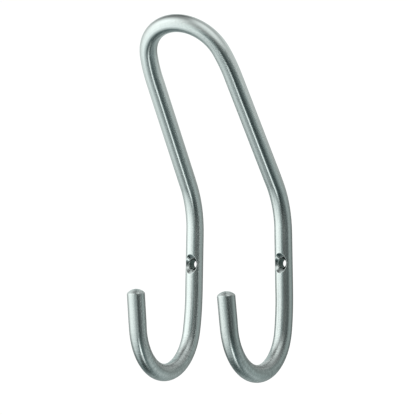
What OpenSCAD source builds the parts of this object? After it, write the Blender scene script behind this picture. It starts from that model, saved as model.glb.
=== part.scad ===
// Double wall hook: one round rod, bent to a loop that leans out from the wall, with a
// shank down each side and a hook at each end. Two countersunk holes go through the shanks.
// The origin lies on the wall, midway between the two holes. X runs along the line of the
// holes, -Y points away from the wall, and Z is up.

/* [Rod] */
// Diameter of the round rod
rod_d = 8.2; // [7:0.1:10]
// Share of its diameter that the rod loses in a bend whose radius is that diameter
bend_thinning = 0.03; // [0.02:0.005:0.04]

/* [Screw holes] */
// Distance between the centres of the two holes
hole_spacing = 48.5; // [40:0.5:70]
// Diameter of each clear hole
hole_d = 4.5; // [3:0.1:5.5]
// Diameter of each countersink, at the front of the rod
sink_d = 9.2; // [7:0.1:11]
// Full angle of each countersink
sink_angle = 90; // [80:1:100]

/* [Shanks] */
// Straight length from each hole down to its hook
shank_below = 13.5; // [10:0.5:30]
// Straight length from each hole up to its knee
shank_above = 15; // [10:0.5:40]
// Angle by which each shank leans in towards the top
shank_taper = 1.1; // [0:0.1:3]

/* [Hooks] */
// Centreline radius of the easy bend that leads into each hook
lead_r = 100; // [70:1:130]
// Angle of that easy bend
lead_angle = 10; // [4:1:15]
// Centreline radius of each hook
hook_r = 23.5; // [18:0.5:32]
// Angle of the hook bend itself
hook_angle = 162; // [120:1:168]
// Angle by which each hook points in towards the other one
hook_toe_in = 0.7; // [0:0.1:3]
// Straight length at the end of each hook, before its dome
end_length = 15.3; // [8:0.1:25]
// How far off its middle the rod was bent: one end gains this length, the other loses it
end_offset = 0.6; // [0:0.1:3]

/* [Domed ends] */
// Height of the dome on each end
dome_h = 2.3; // [1.8:0.1:2.8]
// Radius of the crown of each dome
crown_r = 5.5; // [5.2:0.1:8]
// Angle between the rod's side and the bevel round the dome's foot
bevel_angle = 24; // [10:1:30]

/* [Knees, arms and loop] */
// Centreline radius of the knee at the top of each shank
knee_r = 38; // [25:1:60]
// Angle by which the arms and the loop lean out from the wall
lean = 35; // [20:1:50]
// Straight length of each arm
arm_length = 57; // [30:1:90]
// Angle by which each arm leans in towards the loop
arm_taper = 2.3; // [0:0.1:5]
// Centreline radius of the easy bend between each arm and the top of the loop
easing_r = 75; // [50:1:100]
// Angle of that easy bend
easing_angle = 10; // [4:1:15]

/* [Hidden] */
$fn = 96;

rod_r = rod_d / 2;
// How far each bend reaches into what it meets, and how far a drill runs past the rod
bite = 0.3;
overshoot = 1;

// Unit directions of the right-hand shank and arm, both pointing up the rod
shank_dir = [-sin(shank_taper), 0, cos(shank_taper)];
arm_dir = [-sin(arm_taper), -cos(arm_taper) * sin(lean), cos(arm_taper) * cos(lean)];

// The knee turns the rod from the one direction to the other, about an axis square to both
knee_angle = acos(shank_dir * arm_dir);
knee_side = (arm_dir - cos(knee_angle) * shank_dir) / sin(knee_angle);
// Turn about the shank that aims the knee's bend at the arm
knee_roll = atan2(
    knee_side.x * cos(shank_taper) + knee_side.z * sin(shank_taper), -knee_side.y
);

// Points on the right-hand centreline
hole_point = [hole_spacing / 2, -rod_r, 0];
knee_start = hole_point + shank_above * shank_dir;
knee_end = knee_start
    + knee_r * (sin(knee_angle) * shank_dir + (1 - cos(knee_angle)) * knee_side);

// The top of the loop is the one arc that closes the gap between the two easy bends
top_start = arm_taper + easing_angle;
top_r = (
    knee_end.x - arm_length * sin(arm_taper) - easing_r * (cos(arm_taper) - cos(top_start))
) / cos(top_start);
top_rise = arm_length * cos(arm_taper) + easing_r * (sin(top_start) - sin(arm_taper))
    - top_r * sin(top_start);

// A tight bend stretches the rod, and so thins it, more than an easy one
function section_d(radius) = rod_d * (1 - bend_thinning * sqrt(rod_d / radius));

// Arc of rod round the origin, in the XY plane, from the X axis towards the Y axis
module arc(radius, angle) {
    bite_angle = bite / radius * 180 / PI;
    rotate([0, 0, -bite_angle])
        rotate_extrude(angle = angle + 2 * bite_angle)
            translate([radius, 0])
                circle(d = section_d(radius));
}

// Length of straight rod up the Z axis. What follows it starts from its far end.
module straight(length) {
    cylinder(h = length, d = rod_d);
    translate([0, 0, length])
        children();
}

// Bend in the rod, from the Z axis towards -Y. What follows it starts from its far end.
module bend(radius, angle) {
    translate([0, -radius, 0]) {
        rotate([90, 0, 90])
            arc(radius, angle);
        rotate([angle, 0, 0])
            translate([0, radius, 0])
                children();
    }
}

// Turned dome on the end of the rod: a crown inside a bevel
module dome() {
    intersection() {
        cylinder(h = dome_h, r1 = rod_r, r2 = rod_r - dome_h * tan(bevel_angle));
        translate([0, 0, dome_h - crown_r])
            sphere(r = crown_r);
    }
}

// Screw hole with its countersink, drilled square to the wall
module screw_hole() {
    sink_depth = (sink_d - hole_d) / 2 / tan(sink_angle / 2);
    sink_grow = overshoot * tan(sink_angle / 2);
    translate([0, rod_r + overshoot, 0])
        rotate([90, 0, 0])
            cylinder(h = rod_d + 2 * overshoot, d = hole_d);
    translate([0, sink_depth - rod_r, 0])
        rotate([90, 0, 0])
            cylinder(
                h = sink_depth + overshoot,
                r1 = hole_d / 2,
                r2 = sink_d / 2 + sink_grow
            );
}

// Right-hand shank with its hook below and its knee above
module shank_and_hook(length_at_end) {
    translate(hole_point)
        rotate([0, -shank_taper, 0]) {
            translate([0, 0, -shank_below])
                cylinder(h = shank_below + shank_above, d = rod_d);
            translate([0, 0, -shank_below])
                rotate([0, 180, -hook_toe_in])
                    bend(lead_r, lead_angle)
                        bend(hook_r, hook_angle)
                            straight(length_at_end)
                                dome();
            translate([0, 0, shank_above])
                rotate([0, 0, knee_roll])
                    bend(knee_r, knee_angle);
        }
}

// Right-hand arm and easy bend, in the leaning plane of the loop
module arm() {
    translate([knee_end.x, 0, 0])
        rotate([0, -arm_taper, 0])
            rotate([0, 0, -90])
                straight(arm_length)
                    bend(easing_r, easing_angle);
}

module hook() {
    color("silver")
        difference() {
            union() {
                shank_and_hook(end_length - end_offset);
                mirror([1, 0, 0])
                    shank_and_hook(end_length + end_offset);
                translate([0, knee_end.y, knee_end.z])
                    rotate([lean, 0, 0]) {
                        arm();
                        mirror([1, 0, 0])
                            arm();
                        translate([0, 0, top_rise])
                            rotate([90, 0, 0])
                                rotate([0, 0, top_start])
                                    arc(top_r, 180 - 2 * top_start);
                    }
            }
            for (side = [-1, 1])
                translate([side * hole_point.x, hole_point.y, 0])
                    screw_hole();
        }
}

hook();
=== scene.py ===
# %% [markdown]
# # Double wall hook
# One round stainless steel rod makes the whole part. It is bent to a loop that leans out from
# the wall, with a straight shank down each side and a hook at each end. A countersunk screw
# hole goes through each shank. This script builds the rod's finished surface where the packed
# CAD model has it, gives it a ground steel finish, and lights it as a small studio would.

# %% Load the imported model
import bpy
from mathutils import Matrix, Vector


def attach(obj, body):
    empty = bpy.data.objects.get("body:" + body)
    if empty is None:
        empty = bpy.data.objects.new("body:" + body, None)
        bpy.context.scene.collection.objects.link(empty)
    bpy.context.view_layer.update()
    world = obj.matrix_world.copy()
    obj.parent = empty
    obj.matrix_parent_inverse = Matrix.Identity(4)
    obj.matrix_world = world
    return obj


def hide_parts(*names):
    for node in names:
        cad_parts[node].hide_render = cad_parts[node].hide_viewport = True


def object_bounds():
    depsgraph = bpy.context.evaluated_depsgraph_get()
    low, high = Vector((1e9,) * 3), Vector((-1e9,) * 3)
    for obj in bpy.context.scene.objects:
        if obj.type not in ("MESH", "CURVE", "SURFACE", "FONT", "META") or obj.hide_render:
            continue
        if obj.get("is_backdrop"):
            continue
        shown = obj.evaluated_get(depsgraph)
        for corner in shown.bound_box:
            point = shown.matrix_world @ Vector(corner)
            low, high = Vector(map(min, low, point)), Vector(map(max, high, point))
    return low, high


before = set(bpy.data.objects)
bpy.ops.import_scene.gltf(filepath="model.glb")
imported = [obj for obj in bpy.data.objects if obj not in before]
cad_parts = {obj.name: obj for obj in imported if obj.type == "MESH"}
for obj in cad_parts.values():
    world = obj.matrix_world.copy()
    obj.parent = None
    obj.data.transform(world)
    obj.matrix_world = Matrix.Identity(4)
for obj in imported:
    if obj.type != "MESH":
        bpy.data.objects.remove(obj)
cad_box = [list(corner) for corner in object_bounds()]

import math
from collections import namedtuple

import bmesh
import bpy
from mathutils import Matrix, Vector

print("CAD box in metres:", cad_box)

# %% [markdown]
# ## Sizes
# A designer drives a bent rod with a few sizes: its thickness, the radius and the angle of
# each bend, and the length of each straight. The same values as in the CAD source are given
# here, in millimetres and degrees, so that the detailed surface lies where the CAD solid does.
# Angles become radians at once, because Python's and Blender's functions work in radians.

# %% Driving sizes
MM = 0.001
ROD_R = 8.2 / 2
BEND_THINNING = 0.03
HOLE_SPACING, HOLE_R, SINK_R = 48.5, 4.5 / 2, 9.2 / 2
SHANK_BELOW, SHANK_ABOVE, SHANK_TAPER = 13.5, 15, math.radians(1.1)
LEAD_R, LEAD_ANGLE = 100, math.radians(10)
HOOK_R, HOOK_ANGLE, HOOK_TOE_IN = 23.5, math.radians(162), math.radians(0.7)
END_LENGTH, END_OFFSET = 15.3, 0.6
KNEE_R, LEAN = 38, math.radians(35)
ARM_LENGTH, ARM_TAPER = 57, math.radians(2.3)
EASING_R, EASING_ANGLE = 75, math.radians(10)
print("a rod of", 2 * ROD_R, "mm, with screws", HOLE_SPACING, "mm apart")

# %% [markdown]
# ## The rod's path
# The real rod is bent from one straight bar, so its surface is one tube that follows one path.
# A Blender curve with a round bevel could draw that tube in a few lines. A mesh built ring by
# ring is chosen instead, because each ring can then have its own radius, and because the screw
# holes need neat rows of faces to grow out of. A station is one place on the path: its centre,
# the direction along the rod, the direction that was the bar's front, and the rod's radius.
#
# A bend stretches the bar, so it is a little thinner there, and more so in a tight bend. The
# front is turned along with the path, which keeps the rings from twisting against each other.

# %% Stations, straights and bends
Station = namedtuple("Station", "centre along front radius")
RING_STEP = 1.1


def bend_section(bend_r):
    """Radius of the rod in a bend of this radius."""
    return ROD_R * (1 - BEND_THINNING * math.sqrt(2 * ROD_R / bend_r))


def go_straight(path, length, step=RING_STEP):
    start = path[-1]
    count = round(length / step)
    for k in range(1, count + 1):
        centre = start.centre + start.along * (length * k / count)
        path.append(Station(centre, start.along, start.front, ROD_R))


def go_round(path, towards, bend_r, angle, twist=0):
    """Bends the path towards a direction. A twist turns the front about the path as it goes."""
    start = path[-1]
    axis = start.along.cross(towards)
    count = round(bend_r * angle / RING_STEP)
    for k in range(1, count + 1):
        turn = Matrix.Rotation(angle * k / count, 3, axis)
        centre = start.centre + bend_r * (towards - turn @ towards)
        along = turn @ start.along
        front = Matrix.Rotation(twist * k / count, 3, along) @ turn @ start.front
        path.append(Station(centre, along, front, bend_section(bend_r)))


print("the hook bends are", round(2 * bend_section(HOOK_R), 2), "mm thick")

# %% [markdown]
# ## Directions
# The wall is the plane Y = 0 and the front looks along -Y. The shanks lean together by a small
# angle, and so do the two arms of the loop, which leans out from the wall. A bend needs the
# direction that it bends towards, square to the path, and one small function gives that.

# %% Directions
FRONT = Vector((0, -1, 0))
INWARD = Vector((-1, 0, 0))
shank_dir = Vector((-math.sin(SHANK_TAPER), 0, math.cos(SHANK_TAPER)))
shank_side = Vector((math.cos(SHANK_TAPER), 0, math.sin(SHANK_TAPER)))
loop_normal = Vector((0, -math.cos(LEAN), -math.sin(LEAN)))
arm_dir = Vector((
    -math.sin(ARM_TAPER),
    -math.cos(ARM_TAPER) * math.sin(LEAN),
    math.cos(ARM_TAPER) * math.cos(LEAN),
))
hole_centre = Vector((HOLE_SPACING / 2, -ROD_R, 0))


def square_to(direction, other):
    """The part of a direction that is square to another one."""
    return (direction - direction.dot(other) * other).normalized()


print("the knee turns", round(math.degrees(shank_dir.angle(arm_dir)), 1), "degrees")

# %% [markdown]
# ## From the hole up to the top
# The path starts in the middle of the right-hand screw hole. Near the hole the rings lie close
# together, since the hole's rays end on them. After the knee the fronts are turned to face
# square out of the loop's plane, so that both halves meet there with their points in line. The
# radius of the loop's top isn't a size of its own: it is the one that closes the loop.

# %% Up from the hole
WINDOW, WINDOW_ROWS = 6.5, 20


def path_up():
    path = [Station(hole_centre, shank_dir, FRONT, ROD_R)]
    go_straight(path, WINDOW, WINDOW / WINDOW_ROWS)
    go_straight(path, SHANK_ABOVE - WINDOW)
    knee_side = square_to(arm_dir, shank_dir)
    knee_angle = shank_dir.angle(arm_dir)
    carried = Matrix.Rotation(knee_angle, 3, shank_dir.cross(knee_side)) @ FRONT
    twist = math.atan2(
        loop_normal.dot(arm_dir.cross(carried)), loop_normal.dot(carried)
    )
    go_round(path, knee_side, KNEE_R, knee_angle, twist)
    knee_end = path[-1].centre
    go_straight(path, ARM_LENGTH)
    go_round(path, square_to(INWARD, arm_dir), EASING_R, EASING_ANGLE)
    turned = ARM_TAPER + EASING_ANGLE
    top_r = (
        knee_end.x
        - ARM_LENGTH * math.sin(ARM_TAPER)
        - EASING_R * (math.cos(ARM_TAPER) - math.cos(turned))
    ) / math.cos(turned)
    go_round(path, square_to(INWARD, path[-1].along), top_r, math.pi / 2 - turned)
    return path


up = path_up()
print("the loop closes at x", round(up[-1].centre.x, 6), "with", len(up), "stations")

# %% [markdown]
# ## From the hole down to the end
# Below the hole the rod leaves the wall in a wide bend, goes round the hook, and ends in a
# short straight that points up and leans a little away from the wall. The same two functions
# draw it, so a hook that is wider or more open is a change to one size.

# %% Down from the hole
def path_down(end_length):
    path = [Station(hole_centre, -shank_dir, FRONT, ROD_R)]
    go_straight(path, WINDOW, WINDOW / WINDOW_ROWS)
    go_straight(path, SHANK_BELOW - WINDOW)
    into_hook = math.cos(HOOK_TOE_IN) * FRONT - math.sin(HOOK_TOE_IN) * shank_side
    go_round(path, into_hook, LEAD_R, LEAD_ANGLE)
    into_hook = square_to(into_hook, path[-1].along)
    go_round(path, into_hook, HOOK_R, HOOK_ANGLE)
    go_straight(path, end_length)
    return path


print("an end stands", round(-path_down(END_LENGTH)[-1].centre.y, 1), "mm out from the wall")

# %% [markdown]
# ## Domed ends
# Each end of the rod is turned to a dome on a lathe. A squashed sphere would come near it, but
# the real one is a large crown radius that runs into a small corner radius, each tangent to
# the next, and that small corner is what catches a thin bright line. So the rings of the dome
# follow those two arcs.

# %% Domed ends
CROWN_R, CORNER_R, DOME_STEPS = 5.5, 1.2, 10
corner_centre = ROD_R - CORNER_R
crown_edge = math.asin(corner_centre / (CROWN_R - CORNER_R))
crown_centre = -(CROWN_R - CORNER_R) * math.cos(crown_edge)
dome_height = crown_centre + CROWN_R


def dome_profile():
    """Radius and height of each ring of the dome, from the rod's side to near the pole."""
    for k in range(1, DOME_STEPS + 1):
        turn = (math.pi / 2 - crown_edge) * k / DOME_STEPS
        yield corner_centre + CORNER_R * math.cos(turn), CORNER_R * math.sin(turn)
    for k in range(1, DOME_STEPS):
        turn = crown_edge * (1 - k / DOME_STEPS)
        yield CROWN_R * math.sin(turn), crown_centre + CROWN_R * math.cos(turn)


print("a dome is", round(dome_height, 2), "mm high")

# %% [markdown]
# ## The row of rings
# A half is its dome, its hook, its hole and its side of the loop, in one row of rings. A real
# rod doesn't change its thickness in a step, so the radius is eased over a few millimetres
# between a straight and a bend. A mean of the rings nearby does that wherever it is needed.

# %% Easing the radius
EASE, EASE_RINGS = 3.0, 9


def eased_radius(row, travel, k, first):
    """Mean radius of the rings near this one, apart from those of the dome."""
    near = [
        row[m].radius
        for m in range(max(first, k - EASE_RINGS), min(len(row), k + EASE_RINGS + 1))
        if abs(travel[m] - travel[k]) <= EASE
    ]
    return sum(near) / len(near)


print("a step in the radius is eased over", 2 * EASE, "mm")

# %% [markdown]
# Each ring also says how far it is along the rod, which the finish needs, and how much of the
# bending it shows. The bar was stretched most round the middle of the hook, and its surface
# has gone slightly rough there, like the peel of an orange: that is the ring's mottle.

# %% One half
Ring = namedtuple("Ring", "centre front side radius mottle at")
MOTTLE_REACH, MOTTLE_FADE = 25, 16


def half_rings(end_length):
    """Rings from the end of the rod to the middle of the loop, and the hole's place in them."""
    down = path_down(end_length)
    tip = down[-1]
    row = [
        Station(tip.centre + tip.along * height, -tip.along, tip.front, radius)
        for radius, height in reversed(list(dome_profile()))
    ]
    dome_rings = len(row)
    row += [Station(s.centre, -s.along, s.front, s.radius) for s in reversed(down)]
    hole_row = len(row) - 1
    row += up[1:]
    travel = [0.0]
    for a, b in zip(row, row[1:]):
        travel.append(travel[-1] + (b.centre - a.centre).length)
    middle = dome_height + end_length + HOOK_R * HOOK_ANGLE / 2
    rings = []
    for k, s in enumerate(row):
        radius = s.radius
        if k >= dome_rings and abs(k - hole_row) > WINDOW_ROWS:
            radius = eased_radius(row, travel, k, dome_rings)
        inside = (MOTTLE_REACH - abs(travel[k] - middle)) / MOTTLE_FADE + 0.5
        mottle = min(max(inside, 0), 1)
        side = s.along.cross(s.front)
        rings.append(Ring(s.centre, s.front, side, radius, mottle, travel[k]))
    return rings, hole_row


print("the mottle is at half its strength", MOTTLE_REACH, "mm from a hook's middle")

# %% [markdown]
# The left half mirrors the right half, apart from the length at its end, because the bar was
# bent a little off its middle. The two are joined to one row from end to end.

# %% The whole rod
def mirror(v):
    return Vector((-v.x, v.y, v.z))


right, right_hole = half_rings(END_LENGTH - END_OFFSET)
left, left_hole = half_rings(END_LENGTH + END_OFFSET)
rod_length = right[-1].at + left[-1].at
rings = right + [
    Ring(mirror(r.centre), mirror(r.front), mirror(r.side), r.radius, r.mottle, rod_length - r.at)
    for r in reversed(left[:-1])
]
left_hole = len(rings) - 1 - left_hole
print(len(rings), "rings on", round(rod_length, 1), "mm of rod")

# %% [markdown]
# ## The screw holes
# Each hole is drilled square to the wall and countersunk at the front for a screw head. A
# Boolean modifier could cut it, but it leaves long thin faces that catch the light badly. So a
# window is left open in the rod's front and another in its back, and a ray of points leads
# from each point of the front window over the countersink's rim, down the cone and the bore,
# and out to the back window. Rays side by side make clean rows of four-sided faces.

# %% The window's border
SEGMENTS = 96
HALF_TURN = SEGMENTS // 2
HALF_WINDOW = 18


def window_border():
    """Row and segment of each point round the front window, anticlockwise from its side."""
    n, m = WINDOW_ROWS, HALF_WINDOW
    border = [(row, m) for row in range(0, n)]
    border += [(n, seg) for seg in range(m, -m, -1)]
    border += [(row, -m) for row in range(n, -n, -1)]
    border += [(-n, seg) for seg in range(-m, m)]
    return border + [(row, m) for row in range(-n, 0)]


border = window_border()
print("a hole has", len(border), "rays")

# %% [markdown]
# Every edge of the hole is slightly rounded, as a deburring tool leaves it, because a perfectly
# sharp edge would never show the fine bright line that a real one does. The rounding is a
# small curve from a point just before the edge to a point just after it.
#
# The countersink is a cone of 90 degrees, so it gets as much deeper as it gets narrower. Its
# tip would lie CONE_TIP behind the rod's middle, which follows from its radius at the front.

# %% Pieces of a ray
RIM_ROUND, BORE_ROUND, EXIT_ROUND = 0.16, 0.1, 0.12
EDGE_STEPS, WALL_STEPS, SIDE_STEPS, SIDE_GROWTH = 4, 8, 9, 1.5
CONE_TIP = SINK_R - ROD_R


def rounded(before, corner, after):
    """A small curve over an edge, from one side of it to the other."""
    for k in range(EDGE_STEPS + 1):
        t = k / EDGE_STEPS
        yield before * (1 - t) ** 2 + corner * (2 * t * (1 - t)) + after * t ** 2


def steps_between(a, b):
    return [a + (b - a) * (k / WALL_STEPS) for k in range(1, WALL_STEPS)]


def along_side(aim, radius, gap, border_flat, facing):
    """Points on the rod's side, from near the hole out to the window, in steps that grow."""
    inner = Vector((ROD_R * math.asin(radius * math.cos(aim) / ROD_R), radius * math.sin(aim)))
    first = inner + (border_flat - inner).normalized() * gap
    for k in range(SIDE_STEPS):
        flat = first + (border_flat - first) * (k / SIDE_STEPS) ** SIDE_GROWTH
        turn = flat.x / ROD_R
        yield Vector((ROD_R * math.sin(turn), facing * ROD_R * math.cos(turn), flat.y))


print("the countersink ends", round(HOLE_R - CONE_TIP, 2), "mm in front of the rod's middle")

# %% [markdown]
# The cone and the round rod meet in a rim that is taller than it is wide. Where a ray crosses
# it comes from one equation: the distance from the drill's axis at which the cone and the
# rod's side are equally deep. With r for that distance, R for the rod's radius, T for the
# cone's tip and c for the cosine of the ray's aim, it is (r - T)^2 = R^2 - (c r)^2. The bore
# leaves through the rod's back at a depth that follows from its own radius.

# %% One ray
def hole_ray(row, seg):
    """Points and surfaces of one ray. X is across the rod, Y the drill's axis, Z along the rod."""
    border_flat = Vector((ROD_R * 2 * math.pi * seg / SEGMENTS, WINDOW * row / WINDOW_ROWS))
    aim = math.atan2(border_flat.y, border_flat.x)
    c, s = math.cos(aim), math.sin(aim)

    def in_hole(radius, y):
        return Vector((radius * c, y, radius * s))

    factor = 1 + c ** 2
    root = math.sqrt(CONE_TIP ** 2 + factor * (ROD_R ** 2 - CONE_TIP ** 2))
    rim = (CONE_TIP + root) / factor
    exit_y = math.sqrt(ROD_R ** 2 - (HOLE_R * c) ** 2)
    cone_top = in_hole(rim - RIM_ROUND, CONE_TIP - rim + RIM_ROUND)
    cone_foot = in_hole(HOLE_R + BORE_ROUND, CONE_TIP - HOLE_R - BORE_ROUND)
    bore_top = in_hole(HOLE_R, CONE_TIP - HOLE_R + BORE_ROUND)
    bore_foot = in_hole(HOLE_R, exit_y - EXIT_ROUND)
    front_side = list(along_side(aim, rim, RIM_ROUND, border_flat, -1))
    back_side = list(along_side(aim, HOLE_R, EXIT_ROUND, border_flat, 1))
    rim_edge = list(rounded(front_side[0], in_hole(rim, CONE_TIP - rim), cone_top))
    bore_edge = list(rounded(cone_foot, in_hole(HOLE_R, CONE_TIP - HOLE_R), bore_top))
    exit_edge = list(rounded(bore_foot, in_hole(HOLE_R, exit_y), back_side[0]))
    stretches = [
        ("rod", front_side[::-1]),
        ("sink", rim_edge[1:] + steps_between(cone_top, cone_foot) + bore_edge),
        ("bore", steps_between(bore_top, bore_foot) + exit_edge[:-1]),
        ("rod", back_side),
    ]
    ray = [p for surface, part in stretches for p in part]
    surfaces = [surface for surface, part in stretches for p in part]
    return ray, surfaces, aim


rays = [hole_ray(row, seg) for row, seg in border]
print("a ray has", len(rays[0][0]), "points")

# %% [markdown]
# ## The mesh
# The rings and the rays become one closed mesh. Its UV map is measured in millimetres: U runs
# along the rod, or down into a hole, and V runs round. The finish needs such a map, because
# grinding and drilling leave their marks in one direction. The map's seam is at the back.

# %% Rings to faces
points, mottles, faces, uvs, surfaces = [], [], [], [], []
ROUND_STEP = 2 * math.pi * ROD_R / SEGMENTS
hole_rows = (right_hole, left_hole)
grid = {}


def add_point(p, mottle=0):
    points.append(p * MM)
    mottles.append(mottle)
    return len(points) - 1


def in_window(k, seg):
    beside = any(abs(k + 0.5 - hole) < WINDOW_ROWS for hole in hole_rows)
    middle = abs(seg + 0.5)
    return beside and (middle < HALF_WINDOW or middle > HALF_TURN - HALF_WINDOW)


for k, ring in enumerate(rings):
    for seg in range(-HALF_TURN, HALF_TURN):
        turn = 2 * math.pi * seg / SEGMENTS
        out = math.cos(turn) * ring.front + math.sin(turn) * ring.side
        grid[k, seg] = add_point(ring.centre + ring.radius * out, ring.mottle)
    grid[k, HALF_TURN] = grid[k, -HALF_TURN]

for k in range(len(rings) - 1):
    for seg in range(-HALF_TURN, HALF_TURN):
        if not in_window(k, seg):
            corners = [(k, seg), (k, seg + 1), (k + 1, seg + 1), (k + 1, seg)]
            faces.append([grid[c] for c in corners])
            uvs.append([(rings[a].at, b * ROUND_STEP) for a, b in corners])
            surfaces.append("rod")
print(len(faces), "faces in the rings")

# %% [markdown]
# A fan of triangles closes the small gap at each dome's pole. Along the rod the pole is hardly
# farther than the last ring, so the map gives the fan a length of its own, POLE_REACH.

# %% Poles of the domes
POLE_REACH = 0.55
last_radius, last_height = list(dome_profile())[-1]
last = len(rings) - 1

for k, inner, beyond in ((0, 1, -POLE_REACH), (last, last - 1, POLE_REACH)):
    ring = rings[k]
    outward = (ring.centre - rings[inner].centre).normalized()
    pole = add_point(ring.centre + outward * (dome_height - last_height))
    for seg in range(-HALF_TURN, HALF_TURN):
        faces.append([pole, grid[k, seg], grid[k, seg + 1]])
        v = seg * ROUND_STEP
        uvs.append([
            (ring.at + beyond, v + ROUND_STEP / 2), (ring.at, v), (ring.at, v + ROUND_STEP)
        ])
        surfaces.append("rod")
print("each pole closes a gap", round(2 * last_radius, 2), "mm wide")

# %% [markdown]
# A hole's rays start and end on points that the rings already have, so the mesh stays closed.
# The points between are new ones. A ray was worked out in the hole's own directions, and here
# it is turned to where the hole is on the rod. Its places in the hole's directions are kept as
# well, since the UV map is easier to work out from them.

# %% Points of a hole
def window_point(row, seg, facing):
    turn = 2 * math.pi * seg / SEGMENTS
    return Vector(
        (ROD_R * math.sin(turn), facing * ROD_R * math.cos(turn), WINDOW * row / WINDOW_ROWS)
    )


def hole_columns(hole_row, hand):
    """Mesh points and places of each ray. Hand is 1 where the rings run up, and -1 down."""
    ring = rings[hole_row]
    up_here = shank_dir if hand == 1 else mirror(shank_dir)
    columns, places = [], []
    for (row, seg), (ray, _, _) in zip(border, rays):
        behind = HALF_TURN - seg if seg > 0 else -HALF_TURN - seg
        inside = [
            add_point(ring.centre + ring.side * p.x - ring.front * p.y + up_here * p.z)
            for p in ray
        ]
        front_end, back_end = (grid[hole_row + hand * row, b] for b in (seg, behind))
        columns.append([front_end, *inside, back_end])
        places.append([window_point(row, seg, -1), *ray, window_point(row, seg, 1)])
    return columns, places


print("a hole has", len(border) * len(rays[0][0]), "points of its own")

# %% [markdown]
# Neighbouring rays are joined by four-sided faces. On the rod's side the UV map carries on
# from the rings. In the hole it starts again: U is the depth along the ray, and V the way
# round the bore.

# %% Faces of a hole
def rod_uv(ring, p, hand, back):
    """The rings' own UV of a point by a hole. Back is the face's side of the seam, or 0."""
    turn = math.atan2(p.x, -p.y)
    if turn * back < 0:
        turn += 2 * math.pi * back
    return ring.at + hand * p.z, turn * ROD_R


def add_faces_between(n, m, columns, places, ring, hand):
    """Joins ray n to its neighbour m."""
    kinds = ["rod"] + rays[0][1] + ["rod"]
    aim_n, aim_m = rays[n][2], rays[m][2]
    if abs(aim_m - aim_n) > math.pi:
        aim_m += math.copysign(2 * math.pi, aim_n - aim_m)
    round_n, round_m = aim_n * HOLE_R, aim_m * HOLE_R
    depth = 0
    for k in range(len(kinds) - 1):
        quad = [(n, k), (m, k), (m, k + 1), (n, k + 1)]
        faces.append([columns[a][b] for a, b in quad])
        surfaces.append(kinds[k + 1] if kinds[k] == "rod" else kinds[k])
        if kinds[k] == kinds[k + 1] == "rod":
            middle = sum((places[a][b] for a, b in quad), Vector())
            back = math.copysign(1, middle.x) if middle.y > 0 else 0
            uvs.append([rod_uv(ring, places[a][b], hand, back) for a, b in quad])
        else:
            deeper = depth + (places[n][k + 1] - places[n][k]).length
            uvs.append([
                (depth, round_n), (depth, round_m), (deeper, round_m), (deeper, round_n)
            ])
            depth = deeper


for hole_row, hand in ((right_hole, 1), (left_hole, -1)):
    columns, places = hole_columns(hole_row, hand)
    for n in range(len(columns)):
        m = (n + 1) % len(columns)
        add_faces_between(n, m, columns, places, rings[hole_row], hand)
print(len(points), "points and", len(faces), "faces")

# %% [markdown]
# The faces and their UVs go into a mesh. The mottle becomes an attribute: one number for each
# point, which a material can read by its name. The points inside the windows belong to no
# face, so bmesh removes them, and it turns all normals outward. A closed mesh has no open
# edge, and its volume is a good check against the CAD solid.

# %% The rod
SURFACES = ("rod", "sink", "bore")
UV_MAP = "along_and_round"
mesh = bpy.data.meshes.new("rod")
mesh.from_pydata(points, [], faces)
layer = mesh.uv_layers.new(name=UV_MAP)
layer.data.foreach_set("uv", [value for face in uvs for corner in face for value in corner])
mesh.attributes.new("mottle", "FLOAT", "POINT").data.foreach_set("value", mottles)
mesh.polygons.foreach_set("use_smooth", [True] * len(faces))
mesh.polygons.foreach_set("material_index", [SURFACES.index(s) for s in surfaces])

work = bmesh.new()
work.from_mesh(mesh)
loose = [v for v in work.verts if not v.link_faces]
bmesh.ops.delete(work, geom=loose, context="VERTS")
bmesh.ops.recalc_face_normals(work, faces=work.faces)
open_edges = sum(not edge.is_manifold for edge in work.edges)
print("removed", len(loose), "points inside the windows; open edges:", open_edges)
print("volume", round(work.calc_volume() / MM ** 3, 1), "mm3")
work.to_mesh(mesh)
work.free()

# %% [markdown]
# ## The rod stands for the CAD piece
# The hook is one piece with no joints, so its one surface rides on the one body, "root". The
# CAD node has the same shape in flat facets; it is hidden, and stays for the collision model.

# %% Place of the rod in the model
rod = bpy.data.objects.new("rod", mesh)
bpy.context.scene.collection.objects.link(rod)
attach(rod, "root")
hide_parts("hook")
print("the rod rides on root and replaces the hook node")

# %% [markdown]
# ## Colours and nodes
# Colours are written as hex values, as on a paint chart. Blender's shaders want linear light,
# where half the number is half the light, and one function turns the one into the other. One
# more function adds a node, sets it and links it, so that a material reads as a short list.

# %% Helpers for materials
def linear(hex_colour):
    """Turns an sRGB hex colour into linear values."""
    values = [int(hex_colour[i:i + 2], 16) / 255 for i in (1, 3, 5)]
    return [v / 12.92 if v <= 0.04045 else ((v + 0.055) / 1.055) ** 2.4 for v in values]


def add_node(tree, kind, settings=None, **links):
    """Adds a node. A link is named for its socket, with _ for a space, or in and its number."""
    node = tree.nodes.new(kind)
    for name, value in (settings or {}).items():
        if isinstance(name, int) or name in node.inputs:
            node.inputs[name].default_value = value
        else:
            setattr(node, name, value)
    for name, source in links.items():
        number = name[2:]
        socket = int(number) if number.isdigit() else name.replace("_", " ")
        tree.links.new(source, node.inputs[socket])
    return node


print("a mid grey, #808080, is", [round(v, 3) for v in linear("#808080")])

# %% [markdown]
# ## Where the marks run
# Stainless bar of this kind is mostly centreless ground: it spins against a grinding wheel, and
# every grit leaves a fine scratch round it. The countersink and the drill leave marks round
# the hole in the same way. So the pattern's place is worked out from the UV map: quick changes
# along the rod, slow ones round it. The way round is fed in as a circle, by its cosine and
# sine, so that the pattern meets itself at the map's seam. An image of scratches would need a
# seam somewhere, and a plain noise in X, Y and Z would run straight through the bends.

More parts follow.
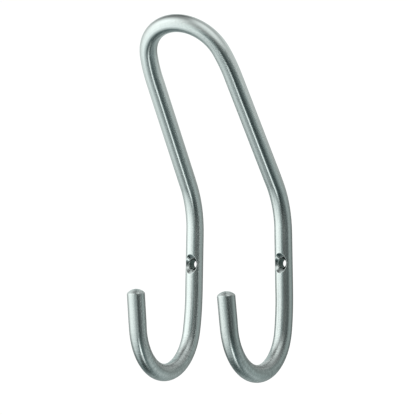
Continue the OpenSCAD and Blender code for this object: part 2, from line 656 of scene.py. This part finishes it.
# %% Place of a pattern on the rod
def marks_place(tree, width_mm, run_mm):
    """Coordinates in which a mark is 1 wide along the rod and 1 long round it."""
    where = add_node(tree, "ShaderNodeUVMap", {"uv_map": UV_MAP})
    split = add_node(tree, "ShaderNodeSeparateXYZ", None, Vector=where.outputs["UV"])
    along = add_node(tree, "ShaderNodeMath", {"operation": "DIVIDE", 1: width_mm},
                     in0=split.outputs["X"])
    turn = add_node(tree, "ShaderNodeMath", {"operation": "DIVIDE", 1: ROD_R},
                    in0=split.outputs["Y"])
    circle = []
    for operation in ("COSINE", "SINE"):
        wave = add_node(tree, "ShaderNodeMath", {"operation": operation}, in0=turn.outputs[0])
        circle.append(add_node(tree, "ShaderNodeMath",
                               {"operation": "MULTIPLY", 1: ROD_R / run_mm},
                               in0=wave.outputs[0]))
    place = add_node(tree, "ShaderNodeCombineXYZ", None, X=along.outputs[0],
                     Y=circle[0].outputs[0], Z=circle[1].outputs[0])
    return place.outputs[0]


print("the way round the rod is", round(2 * math.pi * ROD_R, 1), "mm")

# %% [markdown]
# ## The grain and its patches
# The scratches catch a little more light here and less there: a noise that is drawn out by the
# coordinates above gives that, and the same noise is their height. They are weak on the
# straights and full in the mottled hook bends, so the noise is mixed with an even grey by the
# mottle attribute. The grinding wheel wears, and some patches come out a little rougher than
# others, which a second, slower noise gives. Both could be painted as images instead, but a
# noise never repeats, and its scale is one number.

# %% Grain and patches
GRAIN = {"Scale": 1.0, "Detail": 3.0, "Roughness": 0.6}
PATCHES = {"Scale": 0.35, "Detail": 2.0}
NOISE_RANGE = {"From Min": 0.3, "From Max": 0.7}
EVEN_GREY, GRAIN_ON_STRAIGHTS = 0.5, 0.12
PATCH_SPREAD = 0.08


def grain_outputs(tree, place, roughness):
    """The grain's height, its shade from 0 to 1, and the roughness with its patches."""
    grain = add_node(tree, "ShaderNodeTexNoise", GRAIN, Vector=place)
    contrast = add_node(tree, "ShaderNodeMapRange", NOISE_RANGE, Value=grain.outputs["Fac"])
    mottle = add_node(tree, "ShaderNodeAttribute", {"attribute_name": "mottle"})
    strength = add_node(tree, "ShaderNodeMapRange",
                        {"To Min": GRAIN_ON_STRAIGHTS, "To Max": 1},
                        Value=mottle.outputs["Fac"])
    shade = add_node(tree, "ShaderNodeMix", {"data_type": "FLOAT", 2: EVEN_GREY},
                     in0=strength.outputs[0], in3=contrast.outputs[0])
    patch = add_node(tree, "ShaderNodeTexNoise", PATCHES, Vector=place)
    rough = add_node(tree, "ShaderNodeMapRange", {
        **NOISE_RANGE,
        "To Min": roughness * (1 - PATCH_SPREAD), "To Max": roughness * (1 + PATCH_SPREAD),
    }, Value=patch.outputs["Fac"])
    return grain.outputs["Fac"], shade.outputs[0], rough.outputs[0]


print("the straights show", round(100 * GRAIN_ON_STRAIGHTS), "% of the grain")

# %% [markdown]
# ## Ground steel
# The slopes of the scratches spread a reflection along the rod and hardly at all round it, so
# lamps show as long thin streaks. A bump with every scratch in it could do that, but scratches
# this fine would only turn to noise in a render. An anisotropic gloss gives the streaks at
# once: rough along the tangent and sharp across it, with the tangent from the UV map. A bump
# of one to eight microns is added, which is about as deep as such marks are.
#
# Steel reflects about 60 % of the light that meets it square on, and all of it at a grazing
# angle. In a simple metal shader it rises evenly from one to the other. Iron and chromium stay
# darker than that near 82 degrees and rise only at the very edge, and a metal's specular tint
# says by how much. The metal keeps the default IOR, which it doesn't use.

# %% Ground steel
GRAIN_TINT = 0.25
EDGE_DIP = "#E7E7E7"


def ground_steel(name, colour, roughness, anisotropy, width_mm, run_mm, depth_mm):
    finish = bpy.data.materials.new(name)
    finish.use_nodes = True
    tree = finish.node_tree
    tree.nodes.clear()
    place = marks_place(tree, width_mm, run_mm)
    height, shade, rough = grain_outputs(tree, place, roughness)
    bump = add_node(tree, "ShaderNodeBump", {"Distance": depth_mm * MM}, Height=height)
    tint = add_node(tree, "ShaderNodeMix", {
        "data_type": "RGBA",
        6: [c * (1 - GRAIN_TINT) for c in linear(colour)] + [1],
        7: [c * (1 + GRAIN_TINT) for c in linear(colour)] + [1],
    }, in0=shade)
    run = add_node(tree, "ShaderNodeTangent", {"direction_type": "UV_MAP", "uv_map": UV_MAP})
    shader = add_node(tree, "ShaderNodeBsdfPrincipled", {
        "Metallic": 1.0, "Anisotropic": anisotropy, "Specular Tint": linear(EDGE_DIP) + [1],
    }, Base_Color=tint.outputs[2], Roughness=rough,
        Normal=bump.outputs["Normal"], Tangent=run.outputs["Tangent"])
    add_node(tree, "ShaderNodeOutputMaterial", None, Surface=shader.outputs["BSDF"])
    return finish


print("near 82 degrees it gives", round(linear(EDGE_DIP)[0], 2), "of a simple shader's light")

# %% [markdown]
# ## Three finishes of one steel
# The steel is the common stainless grade of hooks and handrails, 18 % chromium and 8 % nickel.
# It is the same metal all over. The tool that made each surface differs, and the bore's colour
# also holds painted shade:
#
# - The rod is ground with about 240 grit, whose grains are some 0.06 mm across. Their
#   scratches are too fine to show from a metre away, and are drawn 7.5 times as coarse.
# - The cone is cut by a countersink that moves 0.1 mm forward in a turn. Its marks are drawn 4
#   times as coarse as that. A cutter leaves a brighter face than a wheel, with less direction.
# - The bore is drilled at the same feed. A drill tears more than it cuts, so the wall is
#   rougher. Its colour is painted darker and greener: painted shade, as deep in a hole.

# %% Finishes
GRIT_MM, GRIT_COARSER = 0.06, 7.5
FEED_MM, FEED_COARSER = 0.1, 4

# soft, silvery and slightly green from the room: long streaks of light with quiet edges
satin = ground_steel(
    "satin_stainless_steel", "#CECECE", roughness=0.21, anisotropy=0.93,
    width_mm=GRIT_MM * GRIT_COARSER, run_mm=2.5, depth_mm=0.001,
)
# a crisp little mirror that shows a piece of the light and a piece of the dark beside it
countersunk = ground_steel(
    "countersunk_steel", "#CCCCCC", roughness=0.15, anisotropy=0.3,
    width_mm=FEED_MM * FEED_COARSER, run_mm=3, depth_mm=0.002,
)
# painted shade: the bore's colour is dark and greenish, so the eye reads the hole as deep
drilled_and_shaded = ground_steel(
    "drilled_steel_painted_shade", "#606B68", roughness=0.35, anisotropy=0.5,
    width_mm=FEED_MM * FEED_COARSER, run_mm=2, depth_mm=0.008,
)
for finish in (satin, countersunk, drilled_and_shaded):
    mesh.materials.append(finish)
print("finishes:", [finish.name for finish in mesh.materials])

# %% [markdown]
# ## The camera
# The camera stands a little over a metre away, to the right of the hook's middle and a touch
# below it, with a long lens, as for a catalogue. It is built from the direction it looks in
# and from its own level and upright directions, so nothing has to be tracked or rotated by
# hand. The target lies a few millimetres off the middle, to frame the hook as wanted. The
# Standard view transform shows colours as they are, so that the white sweep stays white.

# %% Camera
AZIMUTH, ELEVATION, ROLL = (math.radians(a) for a in (32, -2.306, 0.076))
DISTANCE, LENS, SENSOR = 1.197, 226.62, 36
OFF_MIDDLE = Vector((-0.0033, 0.00584, -0.00283))
CLIP_NEAR, CLIP_FAR = 0.05, 20
target = (Vector(cad_box[0]) + Vector(cad_box[1])) / 2 + OFF_MIDDLE
backward = Vector((
    math.sin(AZIMUTH) * math.cos(ELEVATION),
    -math.cos(AZIMUTH) * math.cos(ELEVATION),
    math.sin(ELEVATION),
))
level = Vector((math.cos(AZIMUTH), math.sin(AZIMUTH), 0))
upward = backward.cross(level)
across = level * math.cos(ROLL) + upward * math.sin(ROLL)
upright = upward * math.cos(ROLL) - level * math.sin(ROLL)
axes = Matrix((across, upright, backward)).transposed()

camera_data = bpy.data.cameras.new("camera")
camera_data.sensor_width, camera_data.lens = SENSOR, LENS
camera_data.clip_start, camera_data.clip_end = CLIP_NEAR, CLIP_FAR
camera = bpy.data.objects.new("camera", camera_data)
camera.matrix_world = Matrix.Translation(target + backward * DISTANCE) @ axes.to_4x4()
bpy.context.scene.collection.objects.link(camera)
bpy.context.scene.camera = camera
bpy.context.scene.view_settings.view_transform = "Standard"
print("the camera stands at", [round(v, 3) for v in camera.matrix_world.translation])

# %% [markdown]
# ## Studio cards
# A polished metal has almost no look of its own: it shows what stands round it. A studio hangs
# white cards and black flags round such a product, out of the camera's view, and their soft
# reflections draw its shape. Area lamps could stand in for the cards, but a lamp's reflection
# ends in a hard edge. Here each card is a patch of a sphere round the hook, whose level fades
# out over a soft border. The grid of the patch is fine at the borders, where the level
# changes, and coarse in the middle.

# %% Levels and grid lines of a card
STUDIO_CENTRE = Vector((0, -0.025, 0.025))
BORDER_STEPS, MIDDLE_STEPS = 7, 8
POLE_LIMIT = 89.9
# the two borders of a narrow card meet in its middle, and share one line there
OVERLAP, NO_GAP = 0.001, 0.01


def fade_at(value, low, high, soft):
    """1 well inside a card and 0 outside it, over a soft border."""
    t = min(max(min(value - low, high - value) / soft * 0.5 + 0.5, 0), 1)
    return t * t * (3 - 2 * t)


def card_lines(low, high, soft):
    """Where a card's grid lines lie, in degrees."""
    reach = min(soft, (high - low) / 2 + OVERLAP)
    border = [low - soft + (soft + reach) * k / BORDER_STEPS for k in range(BORDER_STEPS + 1)]
    far_border = [low + high - v for v in reversed(border)]
    gap = far_border[0] - border[-1]
    if gap < NO_GAP:
        return border + far_border[1:]
    middle = [border[-1] + gap * k / MIDDLE_STEPS for k in range(1, MIDDLE_STEPS)]
    return border + middle + far_border


print("a card 40 degrees wide has", len(card_lines(-20, 20, 5)), "grid lines")

# %% [markdown]
# A card is seen only by the steel.

# %% One card
def add_card(name, az_from, az_to, el_from, el_to, soft, distance, level, finish):
    """A soft-edged patch of a sphere round the hook. Level is what its middle gives."""
    columns = card_lines(az_from, az_to, soft)
    rows = [el for el in card_lines(el_from, el_to, soft) if abs(el) < POLE_LIMIT]
    spots, levels = [], []
    for el in rows:
        for az in columns:
            a, e = math.radians(az), math.radians(el)
            direction = Vector(
                (math.sin(a) * math.cos(e), -math.cos(a) * math.cos(e), math.sin(e))
            )
            spots.append(STUDIO_CENTRE + distance * direction)
            faded = fade_at(az, az_from, az_to, soft) * fade_at(el, el_from, el_to, soft)
            levels.append(level * faded)
    wide = len(columns)
    quads = [
        (r * wide + c, r * wide + c + 1, (r + 1) * wide + c + 1, (r + 1) * wide + c)
        for r in range(len(rows) - 1) for c in range(wide - 1)
    ]
    card_mesh = bpy.data.meshes.new(name)
    card_mesh.from_pydata(spots, [], quads)
    card_mesh.attributes.new("level", "FLOAT", "POINT").data.foreach_set("value", levels)
    card_mesh.materials.append(finish)
    card = bpy.data.objects.new(name, card_mesh)
    bpy.context.scene.collection.objects.link(card)
    card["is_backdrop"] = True
    card.visible_camera = card.visible_diffuse = card.visible_shadow = False


print("the cards hang round", [round(v, 3) for v in STUDIO_CENTRE])

# %% [markdown]
# The white card is glowing paper: a clear shader plus an emission, so cards that overlap add
# up and one never hides the next. The black flag is a scrim, a clear sheet that lets only a
# part of the light through. The flags hang nearer to the hook than any card, so they shade
# all of them. Blender may look for lamps in every glowing mesh; that is switched off here,
# since only reflections see the cards, and the render is cleaner without it. The paper is a
# cool white with a touch of green, as daylight through glass is.

# %% Paper and scrim
def glowing_paper(name, tint):
    paper = bpy.data.materials.new(name)
    paper.use_nodes = True
    paper.cycles.emission_sampling = "NONE"
    tree = paper.node_tree
    tree.nodes.clear()
    level = add_node(tree, "ShaderNodeAttribute", {"attribute_name": "level"})
    clear = add_node(tree, "ShaderNodeBsdfTransparent")
    glow = add_node(tree, "ShaderNodeEmission", {"Color": linear(tint) + [1]},
                    Strength=level.outputs["Fac"])
    both = add_node(tree, "ShaderNodeAddShader", None, in0=clear.outputs[0], in1=glow.outputs[0])
    add_node(tree, "ShaderNodeOutputMaterial", None, Surface=both.outputs[0])
    return paper


def black_scrim(name, lets_through):
    scrim = bpy.data.materials.new(name)
    scrim.use_nodes = True
    tree = scrim.node_tree
    tree.nodes.clear()
    level = add_node(tree, "ShaderNodeAttribute", {"attribute_name": "level"})
    shade = add_node(tree, "ShaderNodeMix", {
        "data_type": "RGBA", 6: linear("#FFFFFF") + [1], 7: linear(lets_through) + [1],
    }, in0=level.outputs["Fac"])
    clear = add_node(tree, "ShaderNodeBsdfTransparent", None, Color=shade.outputs[2])
    add_node(tree, "ShaderNodeOutputMaterial", None, Surface=clear.outputs[0])
    return scrim


COOL_WHITE = "#F4FFFC"
card_paper = glowing_paper("glowing_paper", COOL_WHITE)
print("the paper glows in", [round(v, 2) for v in linear(COOL_WHITE)])

# %% [markdown]
# The key card is a wide soft light to the left of the hook, and draws the bright bands on the
# left of each shank. The cards above light the loop's top, those on the right and behind give
# the paler right-hand edges, and the low ones draw the thin streaks in the hooks. The flags
# cut the dark bands between them. Azimuth 0 is in front of the hook and 90 is on its right.
# In a studio such cards are moved until each band falls where it should. These were moved by
# a numerical match to the look of the real hook, and then set to whole degrees.

# %% Cards and flags
# azimuth from and to, elevation from and to, softness, in degrees; distance in metres; strength
CARDS = {
    "key": (-80, 2, -31, 49, 25, 0.65, 1.55),
    "key_low": (-81, 5, -60, -28, 6, 2.5, 0.45),
    "key_right": (-7, 29, -30, 26, 15, 0.21, 2.7),
    "top": (-57, 120, 35, 106, 24, 0.21, 0.4),
    "crown": (24, 86, 24, 80, 20, 0.21, 0.86),
    "far_left": (-155, -76, -20, 63, 31, 0.21, 1.05),
    "edge": (82, 155, -26, 24, 30, 0.71, 0.78),
    "right": (114, 211, 29, 120, 32, 0.21, 0.73),
    "low_right": (92, 235, -62, -10, 16, 2, 0.36),
    "under": (0, 56, -78, -63, 2, 0.79, 0.66),
    "low": (28, 36, -59, -49, 18, 0.78, 6.9),
    "streak": (31, 77, -16, 27, 2, 0.57, 0.34),
    "behind_up": (150, 237, 4, 35, 2, 2.5, 0.33),
}
# the same, with what is let through instead of the strength
FLAGS = {
    "flag_camera": (59, 101, -48, 19, 16, 0.18, "#98A0A0"),
    "flag_front": (-10, 49, -29, 36, 27, 0.2, "#586060"),
    "flag_low_left": (-110, -20, -90, -60, 7, 0.2, "#9BA3A3"),
    "flag_behind": (94, 158, -52, 8, 8, 0.18, "#C7CFCF"),
    "flag_front_low": (-9, 63, -29, -17, 12, 0.2, "#747C7C"),
    "flag_back": (214, 249, -36, 71, 6, 0.14, "#CCD4D4"),
}

for name, (*shape, strength) in CARDS.items():
    add_card(name, *shape, strength, card_paper)
for name, (*shape, lets_through) in FLAGS.items():
    add_card(name, *shape, 1, black_scrim(name, lets_through))
print(len(CARDS), "cards and", len(FLAGS), "flags")

# %% [markdown]
# ## The room
# Everything beyond the cards is the world. The steel sees a dark room with a grey-green floor
# below. The camera sees a clean white sweep, a little over white so that it stays white, and
# the floor gets its light from the same white. A light path node tells the two apart.

# %% World
ROOM = ("#596968", "#687D7D", "#0C170B", "#0A1113", "#0A0A0A")
WHITE_SWEEP = 1.04
world = bpy.data.worlds.new("studio")
bpy.context.scene.world = world
world.use_nodes = True
world.cycles.sampling_method = "NONE"
tree = world.node_tree
tree.nodes.clear()
direction = add_node(tree, "ShaderNodeTexCoord")
height = add_node(tree, "ShaderNodeSeparateXYZ", None, Vector=direction.outputs["Generated"])
slope = add_node(tree, "ShaderNodeMath", {"operation": "ARCSINE"}, in0=height.outputs["Z"])
share = add_node(tree, "ShaderNodeMapRange",
                 {"From Min": -math.pi / 2, "From Max": math.pi / 2}, Value=slope.outputs[0])
ramp = add_node(tree, "ShaderNodeValToRGB", None, Fac=share.outputs[0])
stops = ramp.color_ramp.elements
for k in range(1, len(ROOM) - 1):
    stops.new(k / (len(ROOM) - 1))
for stop, shade in zip(stops, ROOM):
    stop.color = linear(shade) + [1]
room = add_node(tree, "ShaderNodeBackground", None, Color=ramp.outputs["Color"])
white = add_node(tree, "ShaderNodeBackground",
                 {"Color": linear("#FFFFFF") + [1], "Strength": WHITE_SWEEP})
path = add_node(tree, "ShaderNodeLightPath")
mix = add_node(tree, "ShaderNodeMixShader", None, in0=path.outputs["Is Glossy Ray"],
               in1=white.outputs[0], in2=room.outputs[0])
add_node(tree, "ShaderNodeOutputWorld", None, Surface=mix.outputs[0])
print("the room has", len(stops), "shades from the floor to the ceiling")

# %% [markdown]
# ## The floor
# The hook hangs on a wall, so the floor is far below it. It is plain white paper: matt, with
# no shine at all, and the steel doesn't see it, because the world's lower half stands for it.
# The camera looks a little upward, and the floor ends before it would come into the picture.

# %% Floor
FLOOR_SIZE, FLOOR_Z = 20, -0.7
bpy.ops.mesh.primitive_plane_add(size=FLOOR_SIZE, location=(0, 0, FLOOR_Z))
floor = bpy.context.object
floor.name = "floor"
floor.visible_glossy = False
floor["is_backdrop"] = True
paper = bpy.data.materials.new("white_paper")
paper.use_nodes = True
shader = paper.node_tree.nodes["Principled BSDF"]
shader.inputs["Base Color"].default_value = linear("#FAFAFA") + [1]
shader.inputs["Specular IOR Level"].default_value = 0
floor.data.materials.append(paper)
print("the floor lies at", FLOOR_Z, "m")

# %% [markdown]
# ## Sizes, before and after
# The finished surface has to be as large as the CAD model. Both boxes are measured, and the
# largest difference between their corners is printed.

# %% Boxes
visual_box = [list(corner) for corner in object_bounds()]
off = max(abs(a - b) for c, v in zip(cad_box, visual_box) for a, b in zip(c, v))
print("the boxes differ by at most", round(off / MM, 4), "mm")
